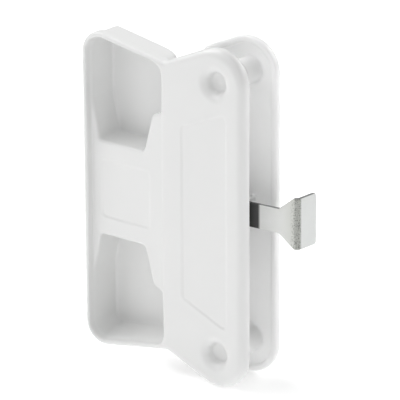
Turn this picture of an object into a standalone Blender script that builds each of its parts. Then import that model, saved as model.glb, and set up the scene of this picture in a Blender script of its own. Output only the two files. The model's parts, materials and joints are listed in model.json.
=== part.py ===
"""Sliding screen-door latch and pull.

A moulded front plate with a grip wing and a plain rear plate clamp the door
stile between them. A sprung steel latch arm swings on an upright pin in the gap.

Frame: metres, +Z up, +X along the door towards the strike, +Y from the front
plate into the door. The origin is midway between the centres of the plates'
round ends, on the front plate's face that lies on the door.
"""

import math

import bmesh
import bpy
from mathutils import Vector

MM = 0.001

# ---------------------------------------------------------------- driving sizes
GAP = 0.3 * MM                  # clearance kept between neighbouring solids

PLATE_T = 3.8 * MM              # front plate thickness
DOOR_T = 12.7 * MM              # stile thickness clamped between the plates, 1/2 in
REAR_T = 3.8 * MM               # rear plate thickness

SCREW_SPAN = 85.7 * MM          # between the mounting screws, 3 3/8 in
LOBE_R = 10.6 * MM              # plate end, concentric with its mounting screw
FOLD_X = -18.7 * MM             # waist line where the grip wing meets the plate
WING_W = 31.4 * MM              # waist line to the wing's free edge
WAIST_HALF = 46.0 * MM          # half height at the waist line
WAIST_R = 2.5 * MM              # blend in the waist
WING_FLARE = math.radians(10.2)
WING_R = 7.0 * MM               # wing's free corners
PLATE_ROLL = 2.6 * MM           # rolled edge round the plate
WING_ROLL = 0.9 * MM            # rolled edge round the wing
WAIST_ROLL = 1.4 * MM

RIM = 1.7 * MM                  # wing rim width
TRAY_D = 2.6 * MM               # web surface below the rim
TRAY_FOLD_R = 4.0 * MM          # tray corners beside the waist line
RIDGE = 1.3 * MM                # ridge left between tray and plate field
POCKET_D = 13.0 * MM            # finger pocket floor below the rim
POCKET_DRAFT = 1.6 * MM         # how far a pocket's end wall leans in at its floor
WALL = 1.1 * MM                 # pocket shell
POCKET_FLOOR_R = 1.8 * MM       # floor corner under the free edge
POCKET_SWEEP_R = 9.0 * MM       # floor sweep up to the ridge
WEB_EAR_Z = 27.7 * MM           # web half height at the rim
WEB_WAIST_Z = 15.2 * MM         # web half height between the pockets
WEB_LEFT_X = -46.1 * MM
WEB_RIGHT_X = -28.4 * MM
WEB_EAR_X = -24.4 * MM          # where the web's right ear turns outward
WEB_EAR_BEND_Z = 25.2 * MM

LABEL_D = 0.25 * MM             # blank label fields
LABEL_R = 1.5 * MM
PLATE_LABEL_X = (-12.2 * MM, 4.4 * MM)
PLATE_LABEL_HALF = (27.8 * MM, 33.6 * MM)
WEB_LABEL_X = (-45.0 * MM, -26.4 * MM)
WEB_LABEL_HALF = 9.2 * MM

DISH_R = 5.0 * MM               # dished recess over each mounting screw
DISH_D = 1.6 * MM
WELL_R = 3.3 * MM               # blind well in the middle of the dish
WELL_D = 3.4 * MM
BOSS_R = 4.7 * MM
BOSS_L = 7.2 * MM               # front boss, from the door face
BORE_R = 3.0 * MM               # rear plate's counterbore for the screw head
BORE_D = 3.0 * MM
SHANK_R = 1.5 * MM
SHANK_CLEAR = 0.4 * MM
HEAD_R = 2.6 * MM
HEAD_T = 1.8 * MM
SCREW_SHORT = 2.0 * MM          # insert left empty past the screw's end
INSERT_R = 2.5 * MM
INSERT_COVER = 1.3 * MM         # plastic left over each insert

REAR_LEFT_X = -17.0 * MM        # rear plate's straight edge
REAR_CORNER_R = 4.0 * MM
REAR_RIM = 2.1 * MM             # rim that lies on the door
REAR_HOLLOW_D = 2.2 * MM        # hollow inside that rim
RIDGE_X = -14.2 * MM            # finger ridge on the rear plate
RIDGE_HALF = 24.0 * MM
RIDGE_H = 5.0 * MM
RIDGE_T = 3.2 * MM
STOP_X = 0.5 * MM               # rib that stops the arm at its latched angle
SLOT_X = (-8.4 * MM, -2.0 * MM)  # slot for the arm's tongue
SLOT_HALF = 4.9 * MM

SHEET_T = 1.2 * MM              # latch arm steel
PIVOT_X = -6.0 * MM
PIVOT_Y = 6.8 * MM
REST_SWING = math.radians(5.2)  # arm's angle to the plates when latched
PIN_R = 1.2 * MM
EYE_R = 2.5 * MM
STRAP_HALF = 3.9 * MM
HEAD_HALF = 8.1 * MM
BEND_X = 28.1 * MM              # pivot to the outer side of the bend
BEND_TURN = math.radians(79)    # strap to flange
FLANGE_L = 6.6 * MM             # bend to the flange's end
FAN_L = 5.2 * MM
TONGUE_L = 14.0 * MM
KNOB_LIFT = 1.6 * MM            # knob above the rear plate, room for its swing
KNOB_H = 6.0 * MM
KNOB_HALF_X = 3.2 * MM
KNOB_HALF_Z = 8.0 * MM

EAR_Z = 8.2 * MM                # inner face of the bracket's ears
EAR_R = 3.2 * MM
BRACKET_T = 1.0 * MM            # its base lies in a recess in the front plate
WIRE_R = 0.33 * MM
COIL_R = 1.95 * MM
COIL_TURNS = 4

BRACKET_X = (-16.6 * MM, -1.6 * MM)
BRACKET_SCREW_X = -13.4 * MM
BRACKET_SCREW_Z = 5.0 * MM
SMALL_R = 0.75 * MM             # bracket screws
SMALL_L = 3.1 * MM
SMALL_HEAD_R = 2.0 * MM
SMALL_HEAD_T = 1.3 * MM
SMALL_BORE_R = SMALL_R + GAP

# ---------------------------------------------------------------- worked values
REAR_IN_Y = DOOR_T
REAR_OUT_Y = DOOR_T + REAR_T
SCREW_Z = SCREW_SPAN / 2
SEAT_Y = REAR_OUT_Y - BORE_D
INSERT_Y = (WELL_D - PLATE_T + INSERT_COVER, BOSS_L)
WING_X = FOLD_X - WING_W
TRAY_X = FOLD_X - RIDGE
UPPER, LOWER = 1, -1


# ---------------------------------------------------------------- scene helpers
def clear_scene():
    for obj in list(bpy.data.objects):
        bpy.data.objects.remove(obj, do_unlink=True)


def material(name, colour, roughness, metallic=0.0):
    mat = bpy.data.materials.new(name)
    mat.use_nodes = True
    shader = mat.node_tree.nodes["Principled BSDF"]
    shader.inputs["Base Color"].default_value = (*colour, 1.0)
    shader.inputs["Roughness"].default_value = roughness
    shader.inputs["Metallic"].default_value = metallic
    return mat


def add_object(name, bm, mat=None, origin=(0, 0, 0)):
    """Closes a bmesh off as a named object, its mesh measured from origin."""
    bmesh.ops.recalc_face_normals(bm, faces=bm.faces)
    mesh = bpy.data.meshes.new(name)
    bm.to_mesh(mesh)
    bm.free()
    mesh.shade_smooth()
    mesh.set_sharp_from_angle(angle=math.radians(35))
    if mat:
        mesh.materials.append(mat)
    obj = bpy.data.objects.new(name, mesh)
    obj.location = origin
    bpy.context.scene.collection.objects.link(obj)
    return obj


def helper(name, bm, origin=(0, 0, 0)):
    """A shape that only takes part in Booleans."""
    obj = add_object(name, bm, origin=origin)
    obj.hide_render = True
    obj.display_type = "WIRE"
    return obj


def combine(obj, other, operation):
    mod = obj.modifiers.new(other.name, "BOOLEAN")
    mod.operation = operation
    mod.solver = "EXACT"
    mod.object = other


def join(obj, other):
    combine(obj, other, "UNION")


def cut(obj, other):
    combine(obj, other, "DIFFERENCE")


# ---------------------------------------------------------------- shape helpers
def rounded_loop(corners, inset=None, segments=6):
    """Points (x, z) of a closed outline made of arcs joined by tangent lines.

    corners run anticlockwise as (x, z, r): r is positive where the outline
    turns outward round the centre, and negative in a hollow. inset moves each
    corner's stretch inwards by its own amount.
    """
    count = len(corners)
    shift = inset or [0.0] * count
    discs = [(Vector((x, z)), r - d) for (x, z, r), d in zip(corners, shift)]
    normals = []
    for i in range(count):
        centre_a, radius_a = discs[i]
        centre_b, radius_b = discs[(i + 1) % count]
        along = (centre_b - centre_a).normalized()
        lean = (radius_a - radius_b) / (centre_b - centre_a).length
        outward = Vector((along.y, -along.x))
        normals.append(lean * along + math.sqrt(1 - lean * lean) * outward)
    points = []
    for i, (centre, radius) in enumerate(discs):
        start = math.atan2(normals[i - 1].y, normals[i - 1].x)
        turn = math.atan2(normals[i].y, normals[i].x) - start
        turn = (turn + math.pi) % (2 * math.pi) - math.pi
        for k in range(segments + 1):
            angle = start + turn * k / segments
            points.append(centre + radius * Vector((math.cos(angle), math.sin(angle))))
    return points


def skin(bm, rings):
    """Joins rings of equal length into one closed body."""
    loops = [[bm.verts.new(p) for p in ring] for ring in rings]
    count = len(loops[0])
    for lower, upper in zip(loops, loops[1:]):
        for i in range(count):
            j = (i + 1) % count
            bm.faces.new((lower[i], lower[j], upper[j], upper[i]))
    bm.faces.new(loops[0])
    bm.faces.new(loops[-1])
    return bm


def prism_y(loop, y_from, y_to):
    """An (x, z) outline extruded along Y."""
    rings = [[(p.x, y, p.y) for p in loop] for y in (y_from, y_to)]
    return skin(bmesh.new(), rings)


def prism_z(loop, z_from, z_to):
    """An (x, y) outline extruded along Z."""
    rings = [[(p.x, p.y, z) for p in loop] for z in (z_from, z_to)]
    return skin(bmesh.new(), rings)


def turned_y(profile, segments=24):
    """A profile of (radius, y) turned about the Y axis."""
    rings = []
    for radius, y in profile:
        angles = [2 * math.pi * k / segments for k in range(segments)]
        rings.append([(radius * math.cos(a), y, radius * math.sin(a)) for a in angles])
    return skin(bmesh.new(), rings)


def turned_z(profile, segments=24):
    """A profile of (radius, z) turned about the Z axis."""
    rings = []
    for radius, z in profile:
        angles = [2 * math.pi * k / segments for k in range(segments)]
        rings.append([(radius * math.cos(a), radius * math.sin(a), z) for a in angles])
    return skin(bmesh.new(), rings)


def box(low, high):
    corners = [(low[0], low[1]), (high[0], low[1]), (high[0], high[1]), (low[0], high[1])]
    return prism_z([Vector(c) for c in corners], low[2], high[2])


def tube(points, radius, sides=6):
    """A round wire along a chain of points, with flat ends."""
    rings = []
    for i, point in enumerate(points):
        ahead = points[min(i + 1, len(points) - 1)] - points[max(i - 1, 0)]
        side = ahead.cross(Vector((0, 0, 1)))
        if side.length < 1e-9:
            side = Vector((1, 0, 0))
        side.normalize()
        rise = side.cross(ahead).normalized()
        angles = [2 * math.pi * k / sides for k in range(sides)]
        rings.append([point + radius * (math.cos(a) * side + math.sin(a) * rise) for a in angles])
    return skin(bmesh.new(), rings)


# ---------------------------------------------------------------- plate outline
def plate_flare():
    """Angle of the line from the waist that touches the lobe."""
    run = -FOLD_X
    rise = SCREW_Z - WAIST_HALF
    return math.atan2(rise, run) + math.asin(LOBE_R / math.hypot(run, rise))


def wing_line(x, inset=0.0):
    """Half height of the wing's end at x, moved inwards by inset."""
    return WAIST_HALF - math.tan(WING_FLARE) * (x - FOLD_X) - inset / math.cos(WING_FLARE)


def plate_corners():
    flare = plate_flare()
    lift_wing = WAIST_R / math.cos(WING_FLARE)
    lift_plate = WAIST_R / math.cos(flare)
    waist_dx = (lift_wing - lift_plate) / (math.tan(WING_FLARE) + math.tan(flare))
    waist_x = FOLD_X + waist_dx
    waist_z = wing_line(waist_x) + lift_wing
    wing_x = WING_X + WING_R
    wing_z = wing_line(wing_x, WING_R)
    return [
        (0, -SCREW_Z, LOBE_R),
        (0, SCREW_Z, LOBE_R),
        (waist_x, waist_z, -WAIST_R),
        (wing_x, wing_z, WING_R),
        (wing_x, -wing_z, WING_R),
        (waist_x, -waist_z, -WAIST_R),
    ]


def rear_corners(inset=0.0):
    """The rear plate: the plate end of the same outline, without the wing."""
    flare = plate_flare()
    radius = REAR_CORNER_R
    x = REAR_LEFT_X + radius
    z = WAIST_HALF + math.tan(flare) * (x - FOLD_X) - radius / math.cos(flare)
    return [
        (0, -SCREW_Z, LOBE_R - inset),
        (0, SCREW_Z, LOBE_R - inset),
        (x, z, radius - inset),
        (x, -z, radius - inset),
    ]


def rolled_plate(corners, rolls, flat_y, face_y, steps=4):
    """Plate blank: flat on flat_y, with a rolled edge round its face."""
    inward = 1 if face_y < flat_y else -1
    segments = 6
    rings = [[(p.x, flat_y, p.y) for p in rounded_loop(corners, segments=segments)]]
    for step in range(steps + 1):
        angle = math.pi / 2 * step / steps
        inset = [roll * (1 - math.cos(angle)) for roll in rolls]
        sink = [roll * (1 - math.sin(angle)) for roll in rolls]
        loop = rounded_loop(corners, inset, segments)
        ring = []
        for i, point in enumerate(loop):
            ring.append((point.x, face_y + inward * sink[i // (segments + 1)], point.y))
        rings.append(ring)
    return skin(bmesh.new(), rings)


def tray_corners():
    """The wing's recess, inside its rim."""
    wing_x = WING_X + WING_R
    wing_z = wing_line(wing_x, WING_R)
    fold_x = TRAY_X - TRAY_FOLD_R
    fold_z = wing_line(fold_x, RIM + TRAY_FOLD_R * math.cos(WING_FLARE))
    return [
        (fold_x, -fold_z, TRAY_FOLD_R),
        (fold_x, fold_z, TRAY_FOLD_R),
        (wing_x, wing_z, WING_R - RIM),
        (wing_x, -wing_z, WING_R - RIM),
    ]


def pocket_corners(side):
    """Mouth of one finger pocket, above or below the web."""
    tray = tray_corners()
    web_r = 1.2 * MM
    ear_r = 0.5 * MM
    rim_x = WING_X + RIM
    corners = [
        tray[1],
        tray[2],
        (rim_x + ear_r, WEB_EAR_Z, ear_r),
        (WEB_LEFT_X + web_r, WEB_WAIST_Z + web_r, web_r),
        (WEB_RIGHT_X - web_r, WEB_WAIST_Z + web_r, web_r),
        (WEB_EAR_X, WEB_EAR_BEND_Z + web_r, -web_r),
        (TRAY_X - ear_r, WEB_EAR_Z + ear_r, ear_r),
    ]
    if side == UPPER:
        return corners
    return [(x, -z, r) for x, z, r in reversed(corners)]


def pocket_side_profile(grow):
    """Plan of a pocket: flat floor, small corner at the rim, wide sweep to the ridge."""
    left = WING_X + RIM - grow
    right = TRAY_X + grow
    mouth = -PLATE_T - 3 * MM
    floor = POCKET_D - PLATE_T + grow
    small = POCKET_FLOOR_R + grow
    wide = POCKET_SWEEP_R + grow
    corner = 0.2 * MM
    return rounded_loop([
        (right - corner, mouth + corner, corner),
        (right - wide, floor - wide, wide),
        (left + small, floor - small, small),
        (left + corner, mouth + corner, corner),
    ])


def pocket_end_profile(grow):
    """End wall of a pocket, as (y, distance inside the wing's end): leans in, round floor."""
    mouth = -PLATE_T - 3 * MM
    floor = POCKET_D - PLATE_T + grow
    radius = POCKET_FLOOR_R + grow
    corner = 0.2 * MM
    far = -60 * MM
    lean = POCKET_DRAFT / POCKET_D
    top = grow - RIM
    sunk = top - POCKET_DRAFT
    return rounded_loop([
        (floor - corner, far + corner, corner),
        (floor - radius, sunk + lean * radius - radius, radius),
        (mouth + corner, top - lean * (mouth + PLATE_T) - corner, corner),
        (mouth + corner, far + corner, corner),
    ])


def pocket_body(name, side, grow, y_from):
    """Solid of a pocket, grown outwards by grow."""
    corners = pocket_corners(side)
    loop = rounded_loop(corners, [-grow] * len(corners), 5)
    body = helper(name, prism_y(loop, y_from, POCKET_D - PLATE_T + grow + MM))
    z_range = sorted((side * 5 * MM, side * 60 * MM))
    plan = helper(name + "_plan", prism_z(pocket_side_profile(grow), *z_range))
    combine(body, plan, "INTERSECT")
    rings = [[(x, p.x, side * p.y) for p in pocket_end_profile(grow)] for x in (-60 * MM, 20 * MM)]
    end = helper(name + "_end", skin(bmesh.new(), rings), (FOLD_X, 0, side * WAIST_HALF))
    end.rotation_euler.y = side * WING_FLARE
    combine(body, end, "INTERSECT")
    return body


def label_corners(left, right, half_left, half_right):
    """A blank field with rounded corners, its ends sloping evenly."""
    return [
        (right - LABEL_R, -half_right + LABEL_R, LABEL_R),
        (right - LABEL_R, half_right - LABEL_R, LABEL_R),
        (left + LABEL_R, half_left - LABEL_R, LABEL_R),
        (left + LABEL_R, -half_left + LABEL_R, LABEL_R),
    ]


def screw_place(side):
    return (0, 0, side * SCREW_Z)


def rounded_plan(half_x, half_z, radius):
    """A centred rectangle with rounded corners."""
    x, z = half_x - radius, half_z - radius
    return [(x, -z, radius), (x, z, radius), (-x, z, radius), (-x, -z, radius)]


# ---------------------------------------------------------------- moulded plates
def make_front_plate(plastic):
    rolls = [PLATE_ROLL, PLATE_ROLL, WAIST_ROLL, WING_ROLL, WING_ROLL, WAIST_ROLL]
    blank = rolled_plate(plate_corners(), rolls, 0, -PLATE_T)
    plate = add_object("front_pull_plate", blank, plastic)
    for side, word in ((UPPER, "upper"), (LOWER, "lower")):
        join(plate, pocket_body(f"{word}_pocket_shell", side, WALL, -WALL))
        boss = [(BOSS_R, -MM), (BOSS_R, BOSS_L)]
        join(plate, helper(f"{word}_boss", turned_y(boss), screw_place(side)))
    over = MM
    tray = rounded_loop(tray_corners())
    cut(plate, helper("tray", prism_y(tray, -PLATE_T - over, TRAY_D - PLATE_T)))
    for side, word in ((UPPER, "upper"), (LOWER, "lower")):
        cut(plate, pocket_body(f"{word}_pocket", side, 0, -PLATE_T - over))
        slope = (DISH_R - WELL_R) / DISH_D
        dish = [
            (DISH_R + slope * over, -PLATE_T - over),
            (WELL_R, DISH_D - PLATE_T),
            (WELL_R, WELL_D - PLATE_T),
        ]
        cut(plate, helper(f"{word}_dish", turned_y(dish), screw_place(side)))
        pit = [(INSERT_R + GAP, INSERT_Y[0]), (INSERT_R + GAP, INSERT_Y[1] + over)]
        cut(plate, helper(f"{word}_insert_bore", turned_y(pit), screw_place(side)))
        pilot = [(SMALL_BORE_R, -SMALL_L), (SMALL_BORE_R, over)]
        cut(plate, helper(f"{word}_pilot", turned_y(pilot, 12), bracket_screw_place(side)))
    outer = EAR_Z + BRACKET_T + GAP
    recess_low = (BRACKET_X[0] - GAP, -BRACKET_T - GAP, -outer)
    cut(plate, helper("bracket_recess", box(recess_low, (BRACKET_X[1] + GAP, over, outer))))
    fields = {
        "plate_label": label_corners(*PLATE_LABEL_X, *PLATE_LABEL_HALF),
        "web_label": label_corners(*WEB_LABEL_X, WEB_LABEL_HALF, WEB_LABEL_HALF),
    }
    depths = {"plate_label": LABEL_D, "web_label": TRAY_D + LABEL_D}
    for name, corners in fields.items():
        loop = rounded_loop(corners, segments=3)
        cut(plate, helper(name, prism_y(loop, -PLATE_T - over, depths[name] - PLATE_T)))
    return plate


def make_rear_plate(plastic):
    blank = rolled_plate(rear_corners(), [PLATE_ROLL] * 4, REAR_IN_Y, REAR_OUT_Y)
    plate = add_object("rear_pull_plate", blank, plastic)
    over = MM
    floor_y = REAR_IN_Y + REAR_HOLLOW_D
    hollow = rounded_loop(rear_corners(REAR_RIM))
    cut(plate, helper("rear_hollow", prism_y(hollow, REAR_IN_Y - over, floor_y)))
    boss_r = BOSS_R - 0.5 * MM
    for side, word in ((UPPER, "upper"), (LOWER, "lower")):
        boss = [(boss_r, BOSS_L + GAP), (boss_r, floor_y + over / 2)]
        join(plate, helper(f"{word}_rear_boss", turned_y(boss), screw_place(side)))
    arm_back = PIVOT_Y + math.tan(REST_SWING) * (STOP_X - PIVOT_X) + SHEET_T / 2
    stop_low = (STOP_X - MM, arm_back + 2 * GAP, -3 * MM)
    join(plate, helper("swing_stop", box(stop_low, (STOP_X + MM, floor_y + over / 2, 3 * MM))))
    ridge = rounded_plan(RIDGE_T / 2, RIDGE_HALF, RIDGE_T / 2 - 0.1 * MM)
    crest = REAR_OUT_Y + RIDGE_H
    heights = (
        (floor_y + over / 2, 0.0),
        (crest - 1.2 * MM, 0.0),
        (crest - 0.4 * MM, 0.4 * MM),
        (crest, 1.1 * MM),
    )
    rings = []
    for y, inset in heights:
        rings.append([(p.x, y, p.y) for p in rounded_loop(ridge, [inset] * 4, 4)])
    join(plate, helper("finger_ridge", skin(bmesh.new(), rings), (RIDGE_X, 0, 0)))
    for side, word in ((UPPER, "upper"), (LOWER, "lower")):
        bore = [
            (SHANK_R + SHANK_CLEAR, BOSS_L),
            (SHANK_R + SHANK_CLEAR, SEAT_Y),
            (BORE_R, SEAT_Y),
            (BORE_R, REAR_OUT_Y + over),
        ]
        cut(plate, helper(f"{word}_screw_bore", turned_y(bore), screw_place(side)))
    slot = label_corners(SLOT_X[0], SLOT_X[1], SLOT_HALF, SLOT_HALF)
    loop = rounded_loop(slot, segments=3)
    cut(plate, helper("knob_slot", prism_y(loop, REAR_IN_Y - over, REAR_OUT_Y + over)))
    return plate


# ---------------------------------------------------------------- latch arm
def strip(path, halves, thickness):
    """A bent sheet strip: path in plan, its half height at each point."""
    rings = []
    for i, point in enumerate(path):
        before = (path[i] - path[i - 1]).normalized() if i else None
        after = (path[i + 1] - path[i]).normalized() if i + 1 < len(path) else before
        before = before or after
        mid = (before + after).normalized()
        side = Vector((-mid.y, mid.x)) * thickness / 2 / mid.dot(after)
        half = halves[i]
        left, right = point + side, point - side
        rings.append([(*left, -half), (*right, -half), (*right, half), (*left, half)])
    return skin(bmesh.new(), rings)


def make_latch_arm(steel):
    """The arm's own frame: X along the strap, Y along the tongue."""
    bend_r = SHEET_T * 1.1
    face_x = BEND_X - SHEET_T / 2
    path = [Vector((0, 0)), Vector((face_x - bend_r - FAN_L, 0))]
    halves = [STRAP_HALF, STRAP_HALF]
    steps = 5
    for step in range(steps + 1):
        angle = BEND_TURN * step / steps
        x = face_x - bend_r + bend_r * math.sin(angle)
        path.append(Vector((x, bend_r - bend_r * math.cos(angle))))
        halves.append(HEAD_HALF)
    chamfer = 0.5 * MM
    along = Vector((math.cos(BEND_TURN), math.sin(BEND_TURN)))
    flange_end = path[-1] + along * FLANGE_L
    path.append(flange_end - along * chamfer)
    path.append(flange_end)
    halves += [HEAD_HALF, HEAD_HALF - chamfer]
    pivot = (PIVOT_X, PIVOT_Y, 0)
    arm = add_object("latch_arm", strip(path, halves, SHEET_T), steel, origin=pivot)
    arm.rotation_euler.z = REST_SWING
    eye = [(EYE_R, -STRAP_HALF), (EYE_R, STRAP_HALF)]
    tongue = [Vector((0, 0)), Vector((0, TONGUE_L))]
    bore = [(PIN_R + GAP, -STRAP_HALF - MM), (PIN_R + GAP, STRAP_HALF + MM)]
    parts = [
        (helper("eye", turned_z(eye), pivot), "UNION"),
        (helper("tongue", strip(tongue, [STRAP_HALF] * 2, SHEET_T), pivot), "UNION"),
        (helper("eye_bore", turned_z(bore), pivot), "DIFFERENCE"),
    ]
    for shape, operation in parts:
        shape.rotation_euler.z = REST_SWING
        combine(arm, shape, operation)
    return arm


def make_thumb_knob(plastic):
    """Ribbed knob over the tongue's end, in the arm's own frame."""
    base_y = REAR_OUT_Y - PIVOT_Y + KNOB_LIFT
    tip_y = base_y + KNOB_H
    outline = rounded_plan(KNOB_HALF_X, KNOB_HALF_Z, 2.2 * MM)
    heights = (
        (base_y, 0.4 * MM),
        (base_y + 0.4 * MM, 0.0),
        (base_y + 1.8 * MM, 0.1 * MM),
        (base_y + 3.0 * MM, 1.2 * MM),
        (tip_y - 0.6 * MM, 1.4 * MM),
        (tip_y, 1.9 * MM),
    )
    rings = []
    for y, inset in heights:
        ring = rounded_loop(outline, [inset] * 4, 4)
        rings.append([(p.x, y, p.y) for p in ring])
    pivot = (PIVOT_X, PIVOT_Y, 0)
    knob = add_object("thumb_knob", skin(bmesh.new(), rings), plastic, origin=pivot)
    knob.rotation_euler.z = REST_SWING
    reach = SHEET_T / 2 + GAP
    pocket = box((-reach, base_y - MM, -STRAP_HALF - GAP), (reach, TONGUE_L + GAP, STRAP_HALF + GAP))
    socket = helper("knob_socket", pocket, pivot)
    socket.rotation_euler.z = REST_SWING
    cut(knob, socket)
    return knob


# ---------------------------------------------------------------- pivot group
def bracket_screw_place(side):
    return (BRACKET_SCREW_X, 0, side * BRACKET_SCREW_Z)


def make_bracket(steel):
    """U bracket: a base let in flush with the front plate's back, and two ears that hold the pin."""
    outer = EAR_Z + BRACKET_T
    base = box((BRACKET_X[0], -BRACKET_T, -outer), (BRACKET_X[1], 0, outer))
    bracket = add_object("pivot_bracket", base, steel)
    for side, word in ((UPPER, "upper"), (LOWER, "lower")):
        z_range = sorted((side * EAR_Z, side * outer))
        foot_low = (PIVOT_X - EAR_R, -BRACKET_T / 2, z_range[0])
        foot_high = (PIVOT_X + EAR_R, PIVOT_Y, z_range[1])
        join(bracket, helper(f"{word}_ear_foot", box(foot_low, foot_high)))
        disc = [(EAR_R, z_range[0]), (EAR_R, z_range[1])]
        join(bracket, helper(f"{word}_ear_end", turned_z(disc), (PIVOT_X, PIVOT_Y, 0)))
        hole = [(SMALL_BORE_R + GAP, -BRACKET_T - MM), (SMALL_BORE_R + GAP, MM)]
        cut(bracket, helper(f"{word}_base_hole", turned_y(hole, 16), bracket_screw_place(side)))
    pin_hole = [(PIN_R + GAP, -outer - MM), (PIN_R + GAP, outer + MM)]
    cut(bracket, helper("pin_hole", turned_z(pin_hole), (PIVOT_X, PIVOT_Y, 0)))
    return bracket


def make_pin(steel):
    top = EAR_Z + BRACKET_T + GAP
    groove_top = -top - 0.1 * MM
    groove = 0.7 * MM
    neck = PIN_R - 0.35 * MM
    end = groove_top - groove - 0.8 * MM
    profile = [
        (PIN_R - 0.25 * MM, end),
        (PIN_R, end + 0.25 * MM),
        (PIN_R, groove_top - groove),
        (neck, groove_top - groove),
        (neck, groove_top),
        (PIN_R, groove_top),
        (PIN_R, top),
        (PIN_R + 1.0 * MM, top),
        (PIN_R + 1.0 * MM, top + 0.5 * MM),
        (PIN_R + 0.5 * MM, top + 0.9 * MM),
    ]
    return add_object("pivot_pin", turned_z(profile, 20), steel, origin=(PIVOT_X, PIVOT_Y, 0))


def make_clip(steel):
    """Open snap ring in the pin's groove."""
    groove_top = -(EAR_Z + BRACKET_T + GAP) - 0.1 * MM
    inner = PIN_R - 0.35 * MM + 0.3 * MM
    outer = PIN_R + 1.1 * MM
    opening = math.radians(50)
    steps = 18
    angles = [opening / 2 + (2 * math.pi - opening) * k / steps for k in range(steps + 1)]
    loop = [Vector((outer * math.cos(a), outer * math.sin(a))) for a in angles]
    loop += [Vector((inner * math.cos(a), inner * math.sin(a))) for a in reversed(angles)]
    body = prism_z(loop, groove_top - 0.55 * MM, groove_top - 0.15 * MM)
    return add_object("pin_clip", body, steel, origin=(PIVOT_X, PIVOT_Y, 0))


def make_spacer(steel):
    """Tube that carries the arm's eye at mid height."""
    low, high = -EAR_Z + GAP, -STRAP_HALF - GAP
    body = turned_z([(EYE_R - 0.4 * MM, low), (EYE_R - 0.4 * MM, high)])
    spacer = add_object("arm_spacer", body, steel, origin=(PIVOT_X, PIVOT_Y, 0))
    bore = turned_z([(PIN_R + GAP, low - MM), (PIN_R + GAP, high + MM)])
    cut(spacer, helper("spacer_bore", bore, (PIVOT_X, PIVOT_Y, 0)))
    return spacer


def make_spring(steel):
    """Torsion spring above the eye: one leg on the bracket base, one behind the strap."""
    low = STRAP_HALF + GAP + WIRE_R
    high = EAR_Z - GAP - WIRE_R
    steps = 14
    base_angle = math.radians(180)
    arm_angle = REST_SWING + math.radians(-90)
    sweep = 2 * math.pi * COIL_TURNS + (arm_angle - base_angle) % (2 * math.pi)
    total = int(steps * sweep / (2 * math.pi))
    points = []
    for k in range(total + 1):
        angle = base_angle + sweep * k / total
        z = high + (low - high) * k / total
        points.append(Vector((COIL_R * math.cos(angle), COIL_R * math.sin(angle), z)))
    base_leg = Vector((-COIL_R, -PIVOT_Y + GAP + WIRE_R, high))
    points.insert(0, base_leg)
    along = Vector((math.cos(REST_SWING), math.sin(REST_SWING), 0))
    across = Vector((-along.y, along.x, 0))
    bearing = -(SHEET_T / 2 + GAP + WIRE_R)
    hook = ((2.6 * MM, -COIL_R, low), (4.4 * MM, bearing, 2.4 * MM), (8.6 * MM, bearing, 2.2 * MM))
    for x, y, z in hook:
        points.append(along * x + across * y + Vector((0, 0, z)))
    return add_object("torsion_spring", tube(points, WIRE_R), steel, origin=(PIVOT_X, PIVOT_Y, 0))


# ---------------------------------------------------------------- fasteners
def screw_body(head_r, head_t, shank_r, length):
    """Pan-head screw pointing along -Y, its head's seat at y = 0."""
    return turned_y([
        (head_r * 0.55, head_t),
        (head_r * 0.85, head_t * 0.82),
        (head_r, head_t * 0.4),
        (head_r, 0),
        (shank_r, 0),
        (shank_r, shank_r * 0.6 - length),
        (shank_r * 0.5, -length),
    ])


def make_screw(name, steel, place, head_r, head_t, shank_r, length):
    body = screw_body(head_r, head_t, shank_r, length)
    screw = add_object(name, body, steel, origin=place)
    blade, slot = head_r * 0.16, head_r * 0.6
    for turn, (half_x, half_z) in enumerate(((slot, blade), (blade, slot))):
        bar = box((-half_x, head_t * 0.35, -half_z), (half_x, head_t + MM, half_z))
        cut(screw, helper(f"{name}_drive_{turn}", bar, place))
    return screw


def make_bracket_screw(name, steel, side):
    x, _, z = bracket_screw_place(side)
    return make_screw(name, steel, (x, GAP, z), SMALL_HEAD_R, SMALL_HEAD_T, SMALL_R, SMALL_L)


def make_insert(name, brass, side):
    low, high = INSERT_Y[0] + GAP, INSERT_Y[1] - GAP
    groove = 0.2 * MM
    steps = 3
    profile = []
    for k in range(steps):
        start = low + (high - low) * k / steps
        end = low + (high - low) * (k + 0.7) / steps
        profile += [(INSERT_R, start), (INSERT_R, end), (INSERT_R - groove, end)]
        profile.append((INSERT_R - groove, low + (high - low) * (k + 1) / steps))
    place = screw_place(side)
    insert = add_object(name, turned_y(profile, 20), brass, origin=place)
    bore = turned_y([(SHANK_R + GAP, low + MM), (SHANK_R + GAP, high + MM)], 20)
    cut(insert, helper(f"{name}_bore", bore, place))
    return insert


# ---------------------------------------------------------------- assembly
def build():
    clear_scene()
    plastic = material("white_plastic", (0.86, 0.86, 0.87), 0.22)
    plated = material("plated_steel", (0.72, 0.74, 0.73), 0.32, 1.0)
    spring_wire = material("spring_wire", (0.42, 0.42, 0.43), 0.35, 1.0)
    fastener = material("fastener_steel", (0.55, 0.56, 0.57), 0.35, 1.0)
    brass = material("insert_brass", (0.78, 0.60, 0.30), 0.35, 1.0)

    make_front_plate(plastic)
    make_rear_plate(plastic)
    make_latch_arm(plated)
    make_thumb_knob(plastic)
    make_bracket(plated)
    make_pin(fastener)
    make_clip(fastener)
    make_spacer(fastener)
    make_spring(spring_wire)
    for side, word in ((UPPER, "upper"), (LOWER, "lower")):
        make_bracket_screw(f"bracket_screw_{word}", fastener, side)
        seat = (0, SEAT_Y + GAP, side * SCREW_Z)
        length = seat[1] - INSERT_Y[0] - SCREW_SHORT
        make_screw(f"mounting_screw_{word}", fastener, seat, HEAD_R, HEAD_T, SHANK_R, length)
        make_insert(f"threaded_insert_{word}", brass, side)


build()
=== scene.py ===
import json
import math

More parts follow.
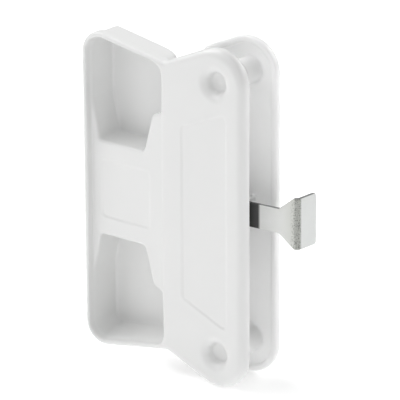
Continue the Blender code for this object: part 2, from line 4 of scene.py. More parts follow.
import bmesh
import bpy
import numpy as np
from mathutils import Matrix, Vector


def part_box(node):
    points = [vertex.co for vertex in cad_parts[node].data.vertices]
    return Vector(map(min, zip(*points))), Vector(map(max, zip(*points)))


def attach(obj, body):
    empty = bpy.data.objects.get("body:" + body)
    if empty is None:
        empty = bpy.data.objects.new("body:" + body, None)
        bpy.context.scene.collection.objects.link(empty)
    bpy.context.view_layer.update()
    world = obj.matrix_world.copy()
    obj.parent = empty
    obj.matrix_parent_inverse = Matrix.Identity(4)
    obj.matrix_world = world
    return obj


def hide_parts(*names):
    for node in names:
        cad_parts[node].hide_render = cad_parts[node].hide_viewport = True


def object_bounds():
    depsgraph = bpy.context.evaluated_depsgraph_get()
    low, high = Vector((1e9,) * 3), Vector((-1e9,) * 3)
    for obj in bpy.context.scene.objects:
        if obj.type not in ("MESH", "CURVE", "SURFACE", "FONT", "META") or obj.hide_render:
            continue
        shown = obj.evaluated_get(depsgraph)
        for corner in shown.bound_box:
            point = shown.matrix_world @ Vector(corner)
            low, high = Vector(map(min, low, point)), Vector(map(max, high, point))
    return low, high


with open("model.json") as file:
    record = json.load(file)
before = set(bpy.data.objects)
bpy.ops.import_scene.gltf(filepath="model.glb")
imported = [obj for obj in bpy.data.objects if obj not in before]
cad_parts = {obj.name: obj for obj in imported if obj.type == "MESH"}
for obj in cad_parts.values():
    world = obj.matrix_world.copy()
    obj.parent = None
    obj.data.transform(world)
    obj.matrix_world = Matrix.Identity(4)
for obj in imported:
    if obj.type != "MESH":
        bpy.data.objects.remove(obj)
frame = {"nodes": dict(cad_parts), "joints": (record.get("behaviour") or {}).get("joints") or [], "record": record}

# Looks for the sliding screen-door latch and pull.
#
# Each moulded or bent piece is a distance field on a fine grid, negative inside
# the material. That gives every edge and inside corner the small radius of the
# real moulding. The field is then turned to a mesh. Sizes here are in
# millimetres in the row frame, and the meshes are in metres.

cad_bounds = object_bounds()
MM = 0.001


# ---------------------------------------------------------------- sizes
def node_box(name):
    low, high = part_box(name)
    return low / MM, high / MM


FRONT_LOW, FRONT_HIGH = node_box("front_pull_plate")
REAR_LOW, REAR_HIGH = node_box("rear_pull_plate")
MOUNTS = {m["name"]: Vector(m["pos_m"]) / MM for m in frame["record"]["mounts"]}
PIVOT = Vector(frame["joints"][0]["pos_m"]) / MM

PLATE_T = -FRONT_LOW.y
LOBE_R = FRONT_HIGH.x
SCREW_Z = FRONT_HIGH.z - LOBE_R
WING_X = FRONT_LOW.x
REAR_IN = MOUNTS["rear_door_face"].y
REAR_T = 3.8
REAR_OUT = REAR_IN + REAR_T
FOLD_X = -18.7
WAIST_HALF = 46.0
WAIST_R = 2.5
WING_FLARE = math.radians(10.2)
WING_R = 7.0
PLATE_ROLL, WAIST_ROLL, WING_ROLL = 2.6, 1.4, 0.9
RIM = 1.7
TRAY_D = 2.6
TRAY_FOLD_R = 4.0
TRAY_X = FOLD_X - 1.3
POCKET_D = 13.0
POCKET_DRAFT = 1.6
POCKET_SWEEP_R = 9.0
WALL = 1.1
WEB_EAR = (-24.4, 25.2)
WEB_EAR_Z = 27.7
WEB_WAIST_Z = 15.2
WEB_X = (-46.1, -28.4)
DISH_R, DISH_D = 5.0, 1.6
WELL_R, WELL_D = 3.3, 3.4
BOSS_R, BOSS_L = 4.7, 7.2
INSERT_R = 2.8
BORE_R, BORE_D = 3.0, 3.0
RECESS_X, RECESS_HALF, RECESS_D = -9.1, (7.8, 9.5), 1.3
REAR_RIM, REAR_HOLLOW = 2.1, 2.2
GAP = 0.3
REST_SWING = math.radians(5.2)
SHEET_T = 1.2
STRAP_HALF, HEAD_HALF = 3.9, 8.1
BEND_X, BEND_R, BEND_TURN = 28.1, 1.32, math.radians(79)
FAN_L, FLANGE_L = 5.2, 6.6
EYE_R, EYE_BORE_R = 2.5, 1.5
TONGUE_L = 14.0
SLOT_X, SLOT_HALF = (-8.4, -2.0), 4.9
KNOB_HALF_X, KNOB_HALF_Z, KNOB_H, KNOB_LIFT = 3.2, 8.0, 6.0, 1.6
EAR_Z = 8.2
FIELD_R, FIELD_D = 1.5, 0.25
PLATE_FIELD, WEB_FIELD = (-12.2, 4.4, 27.8, 33.6), (-45.0, -26.4, 9.2, 9.2)
STOP_X, STOP_HALF_X, STOP_HALF_Z, STOP_LIFT = 0.5, 1.0, 3.0, 0.6
RIDGE_X, RIDGE_HALF = (-15.8, -12.6), 24.0
SHANK_HOLE_R = 1.9
GROOVE_STEP, GROOVE_R = 2.1, 0.75
WIRE_R, COIL_R, COIL_TURNS = 0.33, 1.95, 4


# ---------------------------------------------------------------- flat outlines
def outline(corners, segments=20):
    """Closed loop of arcs joined by tangent lines.

    Corners are (u, v, radius), anticlockwise. A negative radius makes a hollow corner.
    """
    count = len(corners)
    centres = [Vector((u, v)) for u, v, _ in corners]
    normals = []
    for i in range(count):
        step = centres[(i + 1) % count] - centres[i]
        along = step.normalized()
        lean = (corners[i][2] - corners[(i + 1) % count][2]) / step.length
        outward = Vector((along.y, -along.x))
        normals.append(lean * along + math.sqrt(1 - lean * lean) * outward)
    points = []
    for i, centre in enumerate(centres):
        start = math.atan2(normals[i - 1].y, normals[i - 1].x)
        turn = math.atan2(normals[i].y, normals[i].x) - start
        turn = (turn + math.pi) % (2 * math.pi) - math.pi
        for k in range(segments + 1):
            angle = start + turn * k / segments
            points.append(centre + corners[i][2] * Vector((math.cos(angle), math.sin(angle))))
    return np.array([(p.x, p.y) for p in points])


def flat_distance(loop, u, v):
    """Signed distance from points (u, v) to a closed loop."""
    u, v = np.broadcast_arrays(u, v)
    nearest = np.full(u.shape, 1e9)
    inside = np.zeros(u.shape, bool)
    for (au, av), (bu, bv) in zip(loop, np.roll(loop, -1, axis=0)):
        du, dv = bu - au, bv - av
        length = du * du + dv * dv
        if length < 1e-12:
            continue
        t = np.clip(((u - au) * du + (v - av) * dv) / length, 0, 1)
        nearest = np.minimum(nearest, (u - au - t * du) ** 2 + (v - av - t * dv) ** 2)
        if dv:
            inside ^= ((av > v) != (bv > v)) & (u < au + (v - av) * du / dv)
    return np.where(inside, -1, 1) * np.sqrt(nearest)


def wing_line(x, inset=0.0):
    """Half height of the wing's end at x, moved in by inset."""
    return WAIST_HALF - math.tan(WING_FLARE) * (x - FOLD_X) - inset / math.cos(WING_FLARE)


def plate_flare():
    """Lean of the plate's long edges between the waist and the round ends."""
    rise = SCREW_Z - WAIST_HALF
    return math.atan2(rise, -FOLD_X) + math.asin(LOBE_R / math.hypot(FOLD_X, rise))


def front_outline():
    flare = plate_flare()
    lift = WAIST_R / math.cos(WING_FLARE)
    gap = lift - WAIST_R / math.cos(flare)
    x = FOLD_X + gap / (math.tan(WING_FLARE) + math.tan(flare))
    z = wing_line(x) + lift
    wing_x = WING_X + WING_R
    wing_z = wing_line(wing_x, WING_R)
    upper = [(0, SCREW_Z, LOBE_R), (x, z, -WAIST_R), (wing_x, wing_z, WING_R)]
    return outline([(0, -SCREW_Z, LOBE_R)] + upper + [(wing_x, -wing_z, WING_R), (x, -z, -WAIST_R)])


def rear_outline():
    radius = 4.0
    x = REAR_LOW.x + radius
    z = WAIST_HALF + math.tan(plate_flare()) * (x - FOLD_X) - radius / math.cos(plate_flare())
    return outline([(0, -SCREW_Z, LOBE_R), (0, SCREW_Z, LOBE_R), (x, z, radius), (x, -z, radius)])


def tray_outline():
    wing_x = WING_X + WING_R
    wing_z = wing_line(wing_x, WING_R)
    x = TRAY_X - TRAY_FOLD_R
    z = wing_line(x, RIM + TRAY_FOLD_R * math.cos(WING_FLARE))
    small = WING_R - RIM
    return outline([
        (x, -z, TRAY_FOLD_R),
        (x, z, TRAY_FOLD_R),
        (wing_x, wing_z, small),
        (wing_x, -wing_z, small),
    ])


def pocket_outline():
    """Mouth of the upper pocket, left open past the ridge, where the sweep closes it."""
    wing_x = WING_X + WING_R
    wing_z = wing_line(wing_x, WING_R)
    past = 9.0
    slope = (WEB_EAR_Z - WEB_EAR[1]) / (TRAY_X - WEB_EAR[0])
    return outline([
        (TRAY_X + past, wing_line(TRAY_X + past, RIM) - 0.2, 0.2),
        (wing_x, wing_z, WING_R - RIM),
        (WING_X + RIM + 0.5, WEB_EAR_Z, 0.5),
        (WEB_X[0] + 1.2, WEB_WAIST_Z + 1.2, 1.2),
        (WEB_X[1] - 1.2, WEB_WAIST_Z + 1.2, 1.2),
        (WEB_EAR[0], WEB_EAR[1] + 1.2, -1.2),
        (TRAY_X + past, WEB_EAR_Z + slope * past + 0.2, 0.2),
    ])


def field_outline(left, right, half_left, half_right, radius):
    return outline([
        (right - radius, -half_right + radius, radius),
        (right - radius, half_right - radius, radius),
        (left + radius, half_left - radius, radius),
        (left + radius, -half_left + radius, radius),
    ])


# ---------------------------------------------------------------- distance fields
def both(a, b, radius=0.0):
    """Overlap of two shapes, with the edge between them rounded."""
    outer = np.hypot(np.maximum(a + radius, 0), np.maximum(b + radius, 0))
    return np.minimum(-radius, np.maximum(a, b)) + outer


def either(a, b, radius=0.0):
    """Two shapes joined, with a fillet between them."""
    return -both(-a, -b, radius)


def without(a, b, radius=0.0):
    """Shape a with b cut out, and the new edge rounded."""
    return both(a, -b, radius)


def grid(low, high, pitch):
    """Coordinates of a grid round a box, as three arrays that broadcast together."""
    axes = []
    for i in range(3):
        start = low[i] - 2.5 * pitch
        count = int(math.ceil((high[i] - start) / pitch)) + 3
        shape = [1, 1, 1]
        shape[i] = count
        axes.append((start + pitch * np.arange(count)).astype(np.float32).reshape(shape))
    return axes


def soften(field, sigma):
    """Gaussian blur, sigma in cells: rounds every edge a little and leaves flats alone."""
    reach = 3
    weights = np.exp(-0.5 * (np.arange(-reach, reach + 1) / sigma) ** 2)
    weights /= weights.sum()
    for axis in range(3):
        spread = [(reach, reach) if a == axis else (0, 0) for a in range(3)]
        wide = np.pad(field, spread, mode="edge")
        count = field.shape[axis]
        shifted = [wide[(slice(None),) * axis + (slice(k, k + count),)] for k in range(len(weights))]
        field = sum(weight * part for weight, part in zip(weights, shifted))
    return field


def surface(field, axes, pitch):
    """Vertices and quads of the field's zero surface, by surface nets."""
    inside = field < 0
    shape = tuple(n - 1 for n in field.shape)
    corners = [(i, j, k) for i in (0, 1) for j in (0, 1) for k in (0, 1)]

    def corner(values, c):
        return values[c[0]:shape[0] + c[0], c[1]:shape[1] + c[1], c[2]:shape[2] + c[2]]

    filled = sum(corner(inside, c).astype(np.int8) for c in corners)
    active = (filled > 0) & (filled < 8)
    cells = np.argwhere(active)
    index = np.full(shape, -1, np.int64)
    index[active] = np.arange(len(cells))
    total = np.zeros((len(cells), 3))
    hits = np.zeros(len(cells))
    for axis in range(3):
        for c in corners:
            if c[axis]:
                continue
            d = tuple(v + (a == axis) for a, v in enumerate(c))
            near = corner(field, c)[active]
            far = corner(field, d)[active]
            crossed = (near < 0) != (far < 0)
            point = np.tile(np.array(c, float), (crossed.sum(), 1))
            point[:, axis] += near[crossed] / (near[crossed] - far[crossed])
            total[crossed] += point
            hits[crossed] += 1
    origin = np.array([a.flat[0] for a in axes], float)
    verts = origin + pitch * (cells + total / hits[:, None])
    faces = []
    for axis in range(3):
        u, v = (axis + 1) % 3, (axis + 2) % 3
        low = [slice(1, -1)] * 3
        high = [slice(1, -1)] * 3
        low[axis], high[axis] = slice(0, -1), slice(1, None)
        a, b = inside[tuple(low)], inside[tuple(high)]
        for start, flip in ((a & ~b, False), (~a & b, True)):
            at = np.argwhere(start) + 1
            at[:, axis] -= 1
            step_u, step_v = np.zeros(3, int), np.zeros(3, int)
            step_u[u], step_v[v] = 1, 1
            ring = [at - step_u - step_v, at - step_v, at, at - step_u]
            quad = np.stack([index[tuple(p.T)] for p in ring], axis=1)
            faces.append(quad[:, ::-1] if flip else quad)
    return verts, np.concatenate(faces)


def mesh_piece(name, field, axes, pitch, mat, body, nodes, turn=None):
    """Turns a field to a shown piece that stands for CAD nodes."""
    verts, faces = surface(field, axes, pitch)
    mesh = bpy.data.meshes.new(name)
    mesh.vertices.add(len(verts))
    mesh.vertices.foreach_set("co", (verts * MM).astype(np.float32).ravel())
    mesh.loops.add(faces.size)
    mesh.loops.foreach_set("vertex_index", faces.ravel().astype(np.int32))
    mesh.polygons.add(len(faces))
    mesh.polygons.foreach_set("loop_start", np.arange(0, faces.size, 4, dtype=np.int32))
    mesh.update()
    mesh.validate()
    if turn:
        mesh.transform(turn)
    mesh.shade_smooth()
    mesh.materials.append(mat)
    return show(name, mesh, body, nodes)


def show(name, mesh, body, nodes):
    obj = bpy.data.objects.new(name, mesh)
    bpy.context.scene.collection.objects.link(obj)
    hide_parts(*nodes)
    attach(obj, body)
    return obj


# ---------------------------------------------------------------- front plate
def make_front_plate(mat):
    pitch = 0.28
    axes = grid(FRONT_LOW, FRONT_HIGH, pitch)
    x, y, z = axes
    tall = np.abs(z)
    roll = np.interp(x, [WING_X + WING_R, FOLD_X, 0], [WING_ROLL, WAIST_ROLL, PLATE_ROLL])
    body = both(flat_distance(front_outline(), x, z), -PLATE_T - y, roll)
    body = np.maximum(body, y)

    floor = y - (POCKET_D - PLATE_T)
    end = (tall - wing_line(x, RIM)) * math.cos(WING_FLARE) + (y + PLATE_T) * POCKET_DRAFT / POCKET_D
    walls = np.maximum(flat_distance(pocket_outline(), x, tall), end)
    walls = both(walls, x - TRAY_X - 0.5, TRAY_FOLD_R)
    pocket = both(walls, both(floor, x - TRAY_X, POCKET_SWEEP_R), 0.5)
    shell = np.maximum(pocket - WALL, -WALL - y)
    body = either(body, shell, 0.5)

    from_screw = np.hypot(x, tall - SCREW_Z)
    boss = both(from_screw - BOSS_R, y - BOSS_L, 0.4)
    body = either(body, np.maximum(boss, -1 - y), 0.6)

    tray = both(flat_distance(tray_outline(), x, z), y - (TRAY_D - PLATE_T), 0.5)
    body = without(body, either(tray, pocket, 0.7), 0.35)

    lead_in = (DISH_R - WELL_R) / DISH_D
    dish = (from_screw - WELL_R - lead_in * (DISH_D - PLATE_T - y)) / math.hypot(1, lead_in)
    dish = np.maximum(dish, y - WELL_D + PLATE_T)
    well = both(from_screw - WELL_R, y - WELL_D + PLATE_T, 0.8)
    body = without(body, either(dish, well, 0.5), 0.5)
    pit = np.maximum(from_screw - INSERT_R, WELL_D - PLATE_T + 1.3 - y)
    body = without(body, pit)
    recess = np.maximum(np.abs(x - RECESS_X) - RECESS_HALF[0], tall - RECESS_HALF[1])
    body = without(body, np.maximum(recess, -RECESS_D - y), 0.1)
    body = soften(body, 1.0)

    fields = (
        (field_outline(*PLATE_FIELD, FIELD_R), FIELD_D - PLATE_T),
        (field_outline(*WEB_FIELD, FIELD_R), TRAY_D + FIELD_D - PLATE_T),
    )
    for loop, bottom in fields:
        body = without(body, np.maximum(flat_distance(loop, x, z), y - bottom))
    body = soften(body, 0.6)
    return mesh_piece("front_plate_shell", body, axes, pitch, mat, "housing", ["front_pull_plate"])


# ---------------------------------------------------------------- rear plate
def make_rear_plate(mat):
    pitch = 0.28
    axes = grid(REAR_LOW, REAR_HIGH, pitch)
    x, y, z = axes
    edge = flat_distance(rear_outline(), x, z)
    body = both(edge, y - REAR_OUT, PLATE_ROLL)
    body = np.maximum(body, REAR_IN - y)
    floor = REAR_IN + REAR_HOLLOW
    body = without(body, both(edge + REAR_RIM, y - floor, 0.5), 0.3)
    from_screw = np.hypot(x, np.abs(z) - SCREW_Z)
    boss = np.maximum(both(from_screw - BOSS_R + 0.5, REAR_LOW.y - y, 0.3), y - floor - 0.5)
    body = either(body, boss, 0.7)
    stop_face = PIVOT.y + math.tan(REST_SWING) * (STOP_X - PIVOT.x) + SHEET_T / 2 + STOP_LIFT
    stop = np.maximum(np.abs(x - STOP_X) - STOP_HALF_X, np.abs(z) - STOP_HALF_Z)
    stop = np.maximum(stop, np.maximum(stop_face - y, y - floor - 0.5))
    body = either(body, stop, 0.4)
    ridge = flat_distance(field_outline(*RIDGE_X, RIDGE_HALF, RIDGE_HALF, 1.5), x, z)
    ridge = both(np.maximum(ridge, floor + 0.5 - y), y - REAR_HIGH.y, 1.1)
    body = either(body, ridge, 0.9)
    bore = np.maximum(from_screw - BORE_R, REAR_OUT - BORE_D - y)
    body = without(body, np.minimum(bore, from_screw - SHANK_HOLE_R), 0.25)
    slot = flat_distance(field_outline(*SLOT_X, SLOT_HALF, SLOT_HALF, 1.5), x, z)
    body = without(body, slot + 0 * y, 0.4)
    body = soften(body, 1.0)
    return mesh_piece("rear_plate_shell", body, axes, pitch, mat, "housing", ["rear_pull_plate"])


# ---------------------------------------------------------------- latch arm and knob
def at_rest():
    """From the arm's own frame, in metres, to its place at rest."""
    return Matrix.Translation(PIVOT * MM) @ Matrix.Rotation(REST_SWING, 4, "Z")


def make_arm(mat):
    """Sheet bent over at its fan-shaped head, with an eye and a tongue at the pin."""
    pitch = 0.16
    axes = grid((-EYE_R, -EYE_R, -HEAD_HALF), (BEND_X + 1.4, TONGUE_L, HEAD_HALF), pitch)
    x, y, z = axes
    half = SHEET_T / 2
    fan_end = BEND_X - half - BEND_R
    path = [(0.0, 0.0)]
    for a in np.linspace(0, BEND_TURN, 13):
        path.append((fan_end + BEND_R * math.sin(a), BEND_R - BEND_R * math.cos(a)))
    along_x, along_y = math.cos(BEND_TURN), math.sin(BEND_TURN)
    tip_x, tip_y = path[-1][0] + FLANGE_L * along_x, path[-1][1] + FLANGE_L * along_y
    path.append((tip_x, tip_y))
    beyond = (x - tip_x) * along_x + (y - tip_y) * along_y
    sheet = np.full(np.broadcast(x, y).shape, 1e9)
    for (ax, ay), (bx, by) in zip(path, path[1:]):
        dx, dy = bx - ax, by - ay
        t = np.clip(((x - ax) * dx + (y - ay) * dy) / (dx * dx + dy * dy), 0, 1)
        sheet = np.minimum(sheet, np.hypot(x - ax - t * dx, y - ay - t * dy))
    sheet = np.maximum(sheet - half, beyond)
    tall = np.abs(z)
    side = tall - np.interp(x, [fan_end - FAN_L, fan_end], [STRAP_HALF, HEAD_HALF])
    slope = math.cos(math.atan2(HEAD_HALF - STRAP_HALF, FAN_L))
    side = np.where((x > fan_end - FAN_L - 1.3) & (x < fan_end + 1.5), side * slope, side)
    tip = both(tall - HEAD_HALF, beyond, 1.0)
    body = both(sheet, np.maximum(side, tip), 0.18)
    from_pin = np.hypot(x, y)
    eye = both(from_pin - EYE_R, tall - STRAP_HALF, 0.2)
    tongue = np.maximum(np.abs(x) - half, np.maximum(-y, y - TONGUE_L))
    tongue = both(tongue, tall - STRAP_HALF, 0.18)
    body = either(either(body, eye, 0.5), tongue, 0.5)
    body = without(body, from_pin - EYE_BORE_R + 0 * z, 0.15)
    body = soften(body, 0.7)
    return mesh_piece("latch_strip", body, axes, pitch, mat, "latch", ["latch_arm"], at_rest())


def make_knob(mat):
    pitch = 0.18
    base = REAR_OUT - PIVOT.y + KNOB_LIFT
    tip = base + KNOB_H
    axes = grid((-KNOB_HALF_X, base, -KNOB_HALF_Z), (KNOB_HALF_X, tip, KNOB_HALF_Z), pitch)
    x, y, z = axes
    plan = flat_distance(field_outline(-KNOB_HALF_X, KNOB_HALF_X, KNOB_HALF_Z, KNOB_HALF_Z, 2.2), x, z)
    taper = np.interp(y, [base + 1.6, base + 3.2, tip], [0.0, 1.2, 1.4])
    body = both(plan + taper, np.maximum(base - y, y - tip), 0.5)
    for step in range(-2, 3):
        groove = np.hypot(y - tip - 0.25, z - GROOVE_STEP * step) - GROOVE_R
        body = without(body, groove + 0 * x, 0.2)
    socket = np.maximum(np.abs(z) - STRAP_HALF - GAP, y - TONGUE_L - GAP)
    socket = np.maximum(np.abs(x) - SHEET_T / 2 - GAP, socket)
    body = without(body, socket)
    body = soften(body, 0.8)
    return mesh_piece("thumb_button", body, axes, pitch, mat, "latch", ["thumb_knob"], at_rest())


# ---------------------------------------------------------------- torsion spring
def make_spring(mat):
    """Smooth wire along the CAD spring's route."""
    low, high = STRAP_HALF + GAP + WIRE_R, EAR_Z - GAP - WIRE_R
    start = math.radians(180)
    sweep = 2 * math.pi * COIL_TURNS + (REST_SWING - math.radians(90) - start) % (2 * math.pi)
    points = [Vector((-COIL_R, -PIVOT.y + GAP + WIRE_R, high)), Vector((-COIL_R, -COIL_R, high))]
    steps = 28 * COIL_TURNS
    for k in range(1, steps + 1):
        angle = start + sweep * k / steps
        z = high + (low - high) * k / steps
        points.append(Vector((COIL_R * math.cos(angle), COIL_R * math.sin(angle), z)))
    bearing = -(SHEET_T / 2 + GAP + WIRE_R)
    turn = Matrix.Rotation(REST_SWING, 3, "Z")
    leg = ((2.6, -COIL_R, low), (3.6, -1.6, 3.4), (4.4, bearing, 2.4), (8.6, bearing, 2.2))
    points += [turn @ Vector(point) for point in leg]
    curve = bpy.data.curves.new("spring_wire", "CURVE")
    curve.dimensions = "3D"
    curve.bevel_depth = WIRE_R * MM
    curve.bevel_resolution = 3
    curve.use_fill_caps = True
    spline = curve.splines.new("POLY")
    spline.points.add(len(points) - 1)
    for place, point in zip(spline.points, points):
        place.co = (*((point + PIVOT) * MM), 1)
    curve.materials.append(mat)
    return show("return_spring", curve, "housing", ["torsion_spring"])


# ---------------------------------------------------------------- materials
class Nodes:
    """Short way to build a node material."""

    def __init__(self, name):
        self.mat = bpy.data.materials.new(name)
        self.mat.use_nodes = True
        self.tree = self.mat.node_tree
        self.shader = self.tree.nodes["Principled BSDF"]
        coordinates = self.add("ShaderNodeTexCoord")
        self.place = coordinates.outputs["Object"]
        self.facing = coordinates.outputs["Normal"]

    def add(self, kind, **values):
        node = self.tree.nodes.new(kind)
        for key, value in values.items():
            setattr(node, key, value)
        return node

    def link(self, out, to):
        self.tree.links.new(out, to)

    def scaled(self, scale):
        node = self.add("ShaderNodeMapping")
        node.inputs["Scale"].default_value = scale
        self.link(self.place, node.inputs["Vector"])
        return node.outputs["Vector"]

    def noise(self, scale, detail=3.0, roughness=0.5, vector=None):
        node = self.add("ShaderNodeTexNoise")
        node.inputs["Scale"].default_value = scale
        node.inputs["Detail"].default_value = detail
        node.inputs["Roughness"].default_value = roughness
        self.link(vector or self.place, node.inputs["Vector"])
        return node.outputs["Fac"]

    def spread(self, value, low, high, start=0.3, end=0.7):
        """Maps start..end of a value to low..high."""
        node = self.add("ShaderNodeMapRange")
        for key, number in (("From Min", start), ("From Max", end), ("To Min", low), ("To Max", high)):
            node.inputs[key].default_value = number
        self.link(value, node.inputs["Value"])
        return node.outputs["Result"]

    def part(self, vector, letter):
        node = self.add("ShaderNodeSeparateXYZ")
        self.link(vector, node.inputs["Vector"])
        return node.outputs[letter]

    def times(self, a, b):
        node = self.add("ShaderNodeMath", operation="MULTIPLY")
        self.link(a, node.inputs[0])
        self.link(b, node.inputs[1])
        return node.outputs[0]

    def mix(self, factor, below, above, blend="MIX"):
        """Colour mix; above is a colour or a socket, and factor a number or a socket."""
        node = self.add("ShaderNodeMix", data_type="RGBA", blend_type=blend)
        self.link(below, node.inputs[6])
        for value, socket in ((factor, node.inputs[0]), (above, node.inputs[7])):
            if isinstance(value, bpy.types.NodeSocket):
                self.link(value, socket)
            else:
                socket.default_value = value
        return node.outputs[2]

    def ramp(self, value, stops):
        node = self.add("ShaderNodeValToRGB")
        ramp = node.color_ramp
        while len(ramp.elements) < len(stops):
            ramp.elements.new(0.5)
        for element, (at, colour) in zip(ramp.elements, stops):
            element.position = at
            element.color = (*colour, 1)
        self.link(value, node.inputs["Fac"])
        return node.outputs["Color"]

    def bump(self, height, strength, distance):
        node = self.add("ShaderNodeBump")
        node.inputs["Strength"].default_value = strength
        node.inputs["Distance"].default_value = distance
        self.link(height, node.inputs["Height"])
        return node.outputs["Normal"]


def plastic(name, tone, translucence, depth):
    """Glossy white moulded plastic: faint cloudiness, uneven gloss and soft waviness."""
    n = Nodes(name)
    cloud = n.noise(25, 2, 0.5)
    darker = (tone - 0.005, tone - 0.002, tone - 0.006)
    paler = (tone + 0.005, tone + 0.007, tone + 0.001)
    n.link(n.ramp(cloud, [(0.3, darker), (0.7, paler)]), n.shader.inputs["Base Color"])
    n.shader.inputs["Subsurface Weight"].default_value = translucence
    n.shader.inputs["Subsurface Radius"].default_value = (1, 1, 1)
    n.shader.inputs["Subsurface Scale"].default_value = depth
    n.link(n.spread(n.noise(400, 2, 0.5), 0.285, 0.31), n.shader.inputs["Roughness"])
    n.link(n.bump(n.noise(130, 1, 0.3), 0.2, 0.00001), n.shader.inputs["Normal"])
    n.shader.inputs["IOR"].default_value = 1.5
    n.shader.inputs["Coat Weight"].default_value = 0.15
    n.shader.inputs["Coat Roughness"].default_value = 0.12
    return n.mat


def metal(name, dark, light, roughness, grain, speckle=0.0):
    """Plated or drawn metal: drifting tone, fine grain with a scale for each axis, small dark specks."""
    n = Nodes(name)
    n.shader.inputs["Metallic"].default_value = 1.0
    tone = n.noise(160, 5, 0.6)
    colour = n.ramp(tone, [(0.3, dark), (0.7, light)])
    if speckle:
        specks = n.ramp(n.noise(2600, 3, 0.7), [(0.30, (0.25, 0.25, 0.25)), (0.40, (1, 1, 1))])
        colour = n.mix(speckle, colour, specks, "MULTIPLY")
    n.link(colour, n.shader.inputs["Base Color"])
    lines = n.noise(1.0, 3, 0.6, n.scaled(grain))
    n.link(n.spread(lines, roughness - 0.07, roughness + 0.09), n.shader.inputs["Roughness"])
    n.link(n.bump(lines, 0.12, 0.00001), n.shader.inputs["Normal"])
    return n.mat


def plated_strip(name):
    """Bright plating. Painted shade near the pivot, where the strap lies between the plates; olive-grey towards
    the bent head, a band of painted shade where the sheet is bent, with dark flecks of wear there; painted shade
    on the cut edges, which face up and down, and on the faces turned towards +X.
    """
    n = Nodes(name)
    n.shader.inputs["Metallic"].default_value = 0.1
    along = n.part(n.place, "X")
    # Painted shade: faces turned towards +X, such as the bent-over flange's outer face, are mixed towards a darker
    # grey.
    painted_side_shade = n.spread(n.part(n.facing, "X"), 0, 1, 0.45, 0.8)
    # Painted shade: faces turned up or down, the sheet's cut edges, are darkened by which way they face.
    edge = n.part(n.facing, "Z")
    edge = n.spread(n.times(edge, edge), 0, 1, 0.25, 0.8)
    colour = n.ramp(n.noise(190, 4, 0.6), [(0.3, (0.89, 0.90, 0.88)), (0.7, (0.94, 0.945, 0.935))])
    near_bend = n.spread(along, 0, 1, 15.0 * MM, 20.0 * MM)
    colour = n.mix(near_bend, colour, (0.72, 0.73, 0.69, 1))
    colour = n.mix(painted_side_shade, colour, (0.76, 0.775, 0.765, 1))
    # Painted shade: a darker grey band across the bent part of the sheet, on its front-facing side.
    off_flange = n.spread(n.part(n.facing, "Y"), 1, 0.02, -0.4, -0.14)
    painted_bend_shade = n.times(n.spread(along, 0, 1, 20.0 * MM, 20.8 * MM), off_flange)
    colour = n.mix(painted_bend_shade, colour, (0.46, 0.47, 0.44, 1))
    flecks = n.spread(n.noise(2300, 3, 0.75), 1, 0, 0.41, 0.49)
    worn = n.times(n.spread(along, 0, 1, 18.8 * MM, 20.8 * MM), off_flange)
    colour = n.mix(n.times(worn, flecks), colour, (0.17, 0.175, 0.16, 1))
    # Painted shade on the cut edges.
    colour = n.mix(edge, colour, (0.25, 0.255, 0.25, 1))
    # Painted shade: near black up to about 8 mm from the pivot, where the strap lies in the dark gap between the
    # plates.
    painted_pivot_shade = n.spread(along, 1, 0, 7.9 * MM, 8.6 * MM)
    painted_pivot_shade_tone = n.spread(along, 0.02, 0.10, 4.5 * MM, 8.4 * MM)
    colour = n.mix(painted_pivot_shade, colour, painted_pivot_shade_tone)
    n.link(colour, n.shader.inputs["Base Color"])
    lines = n.noise(1.0, 3, 0.6, n.scaled((120, 900, 5200)))
    n.link(n.spread(lines, 0.30, 0.40), n.shader.inputs["Roughness"])
    return n.mat


def paint(node, mat):
    """Gives a carried-over CAD node its material."""
    obj = frame["nodes"][node]
    obj.data.materials.clear()
    obj.data.materials.append(mat)


# ---------------------------------------------------------------- stage
# Metres from the middle of the part to each light.
LIGHT_DISTANCE = 0.9
# Name, azimuth and elevation in degrees, size in metres, power in watts.
LIGHTS = (
    ("top", 15, 72, 0.7, 1.2),
    ("front", -28, 30, 0.7, 1.3),
    ("key", 40, 40, 0.6, 1.3),
    ("left", 90, 50, 0.7, 4.6),
    ("back_left", 140, 30, 0.7, 0.6),
    ("right", -122, 28, 0.4, 1.5),
    ("back_right", -160, 28, 0.5, 2.5),
)


def make_floor():
    bm = bmesh.new()
    bmesh.ops.create_grid(bm, x_segments=1, y_segments=1, size=6.0)
    mesh = bpy.data.meshes.new("floor")
    bm.to_mesh(mesh)
    bm.free()
    floor = bpy.data.objects.new("floor", mesh)
    floor.location.z = cad_bounds[0].z - 0.0002
    bpy.context.scene.collection.objects.link(floor)
    mat = bpy.data.materials.new("floor_white")
    mat.use_nodes = True
    shader = mat.node_tree.nodes["Principled BSDF"]
    shader.inputs["Base Color"].default_value = (0.9, 0.9, 0.9, 1)
    shader.inputs["Roughness"].default_value = 0.9
    shader.inputs["Specular IOR Level"].default_value = 0.0
    shader.inputs["Emission Color"].default_value = (1, 1, 1, 1)
    shader.inputs["Emission Strength"].default_value = 0.34
    mesh.materials.append(mat)


def make_light(name, azimuth, elevation, size, power, target):
    """Soft square light: azimuth 0 is on the -Y side and turns towards -X."""
    a, e = math.radians(azimuth), math.radians(elevation)
    away = Vector((-math.sin(a) * math.cos(e), -math.cos(a) * math.cos(e), math.sin(e)))
    data = bpy.data.lights.new(name, "AREA")
    data.shape = "SQUARE"
    data.size = size
    data.energy = power
    lamp = bpy.data.objects.new(name, data)
    lamp.location = target + away * LIGHT_DISTANCE
    lamp.rotation_mode = "QUATERNION"
    lamp.rotation_quaternion = away.to_track_quat("Z", "Y")
    bpy.context.scene.collection.objects.link(lamp)


def make_world(strength):
    world = bpy.data.worlds.new("studio")
    world.use_nodes = True
    back = world.node_tree.nodes["Background"]
    back.inputs["Color"].default_value = (1, 1, 1, 1)
    back.inputs["Strength"].default_value = strength
    bpy.context.scene.world = world


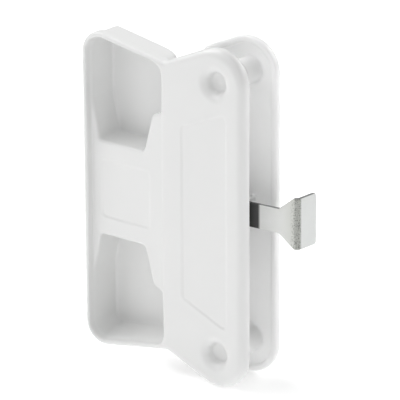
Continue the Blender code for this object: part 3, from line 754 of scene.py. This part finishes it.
def make_camera():
    """Long lens from the front right, a little above."""
    azimuth, elevation, roll = math.radians(37.95), math.radians(20.55), math.radians(-0.32)
    distance, focal = 1.1763, 3969.6
    across, along = -math.sin(azimuth), math.cos(azimuth)
    forward = Vector((across * math.cos(elevation), along * math.cos(elevation), -math.sin(elevation)))
    target = Vector((-5.21, -PLATE_T, 5.68)) * MM
    data = bpy.data.cameras.new("camera")
    data.sensor_width = 36
    data.lens = focal * 36 / 400
    camera = bpy.data.objects.new("camera", data)
    camera.location = target - forward * distance
    right = Vector((math.cos(azimuth), math.sin(azimuth), 0))
    up = right.cross(forward)
    side = math.cos(roll) * right + math.sin(roll) * up
    rise = -math.sin(roll) * right + math.cos(roll) * up
    basis = Matrix((side, rise, -forward)).transposed()
    camera.rotation_mode = "QUATERNION"
    camera.rotation_quaternion = basis.to_quaternion()
    bpy.context.scene.collection.objects.link(camera)
    bpy.context.scene.camera = camera


# ---------------------------------------------------------------- assembly
white = plastic("white_gloss_plastic", 0.84, 0.15, 1.0 * MM)
# Paler copy of the same white plastic with more translucency: painted light, it makes the rear plate brighter than
# the lamps do.
painted_light_white = plastic("painted_light_white_plastic", 0.95, 0.85, 2.4 * MM)
zinc = plated_strip("plated_sheet")
bracket_zinc = metal(
    "bracket_sheet", (0.58, 0.60, 0.58), (0.76, 0.78, 0.76), 0.36, (900, 900, 4200), 0.3
)
fastener = metal("fastener_zinc", (0.50, 0.52, 0.53), (0.68, 0.70, 0.72), 0.36, (2400, 2400, 2400), 0.2)
wire = metal("drawn_wire", (0.30, 0.30, 0.31), (0.46, 0.46, 0.47), 0.36, (3200, 3200, 3200))
brass = metal("turned_brass", (0.60, 0.42, 0.17), (0.80, 0.62, 0.30), 0.36, (400, 6000, 400))

make_front_plate(white)
make_rear_plate(painted_light_white)
make_arm(zinc)
make_knob(white)
make_spring(wire)
paint("pivot_bracket", bracket_zinc)
for node in ("pivot_pin", "pin_clip", "arm_spacer"):
    paint(node, fastener)
for word in ("upper", "lower"):
    paint(f"bracket_screw_{word}", fastener)
    paint(f"mounting_screw_{word}", fastener)
    paint(f"threaded_insert_{word}", brass)

make_floor()
middle = (cad_bounds[0] + cad_bounds[1]) / 2
for name, azimuth, elevation, size, power in LIGHTS:
    make_light(name, azimuth, elevation, size, power, middle)
make_world(0.15)
make_camera()
bpy.context.scene.view_settings.view_transform = "Standard"
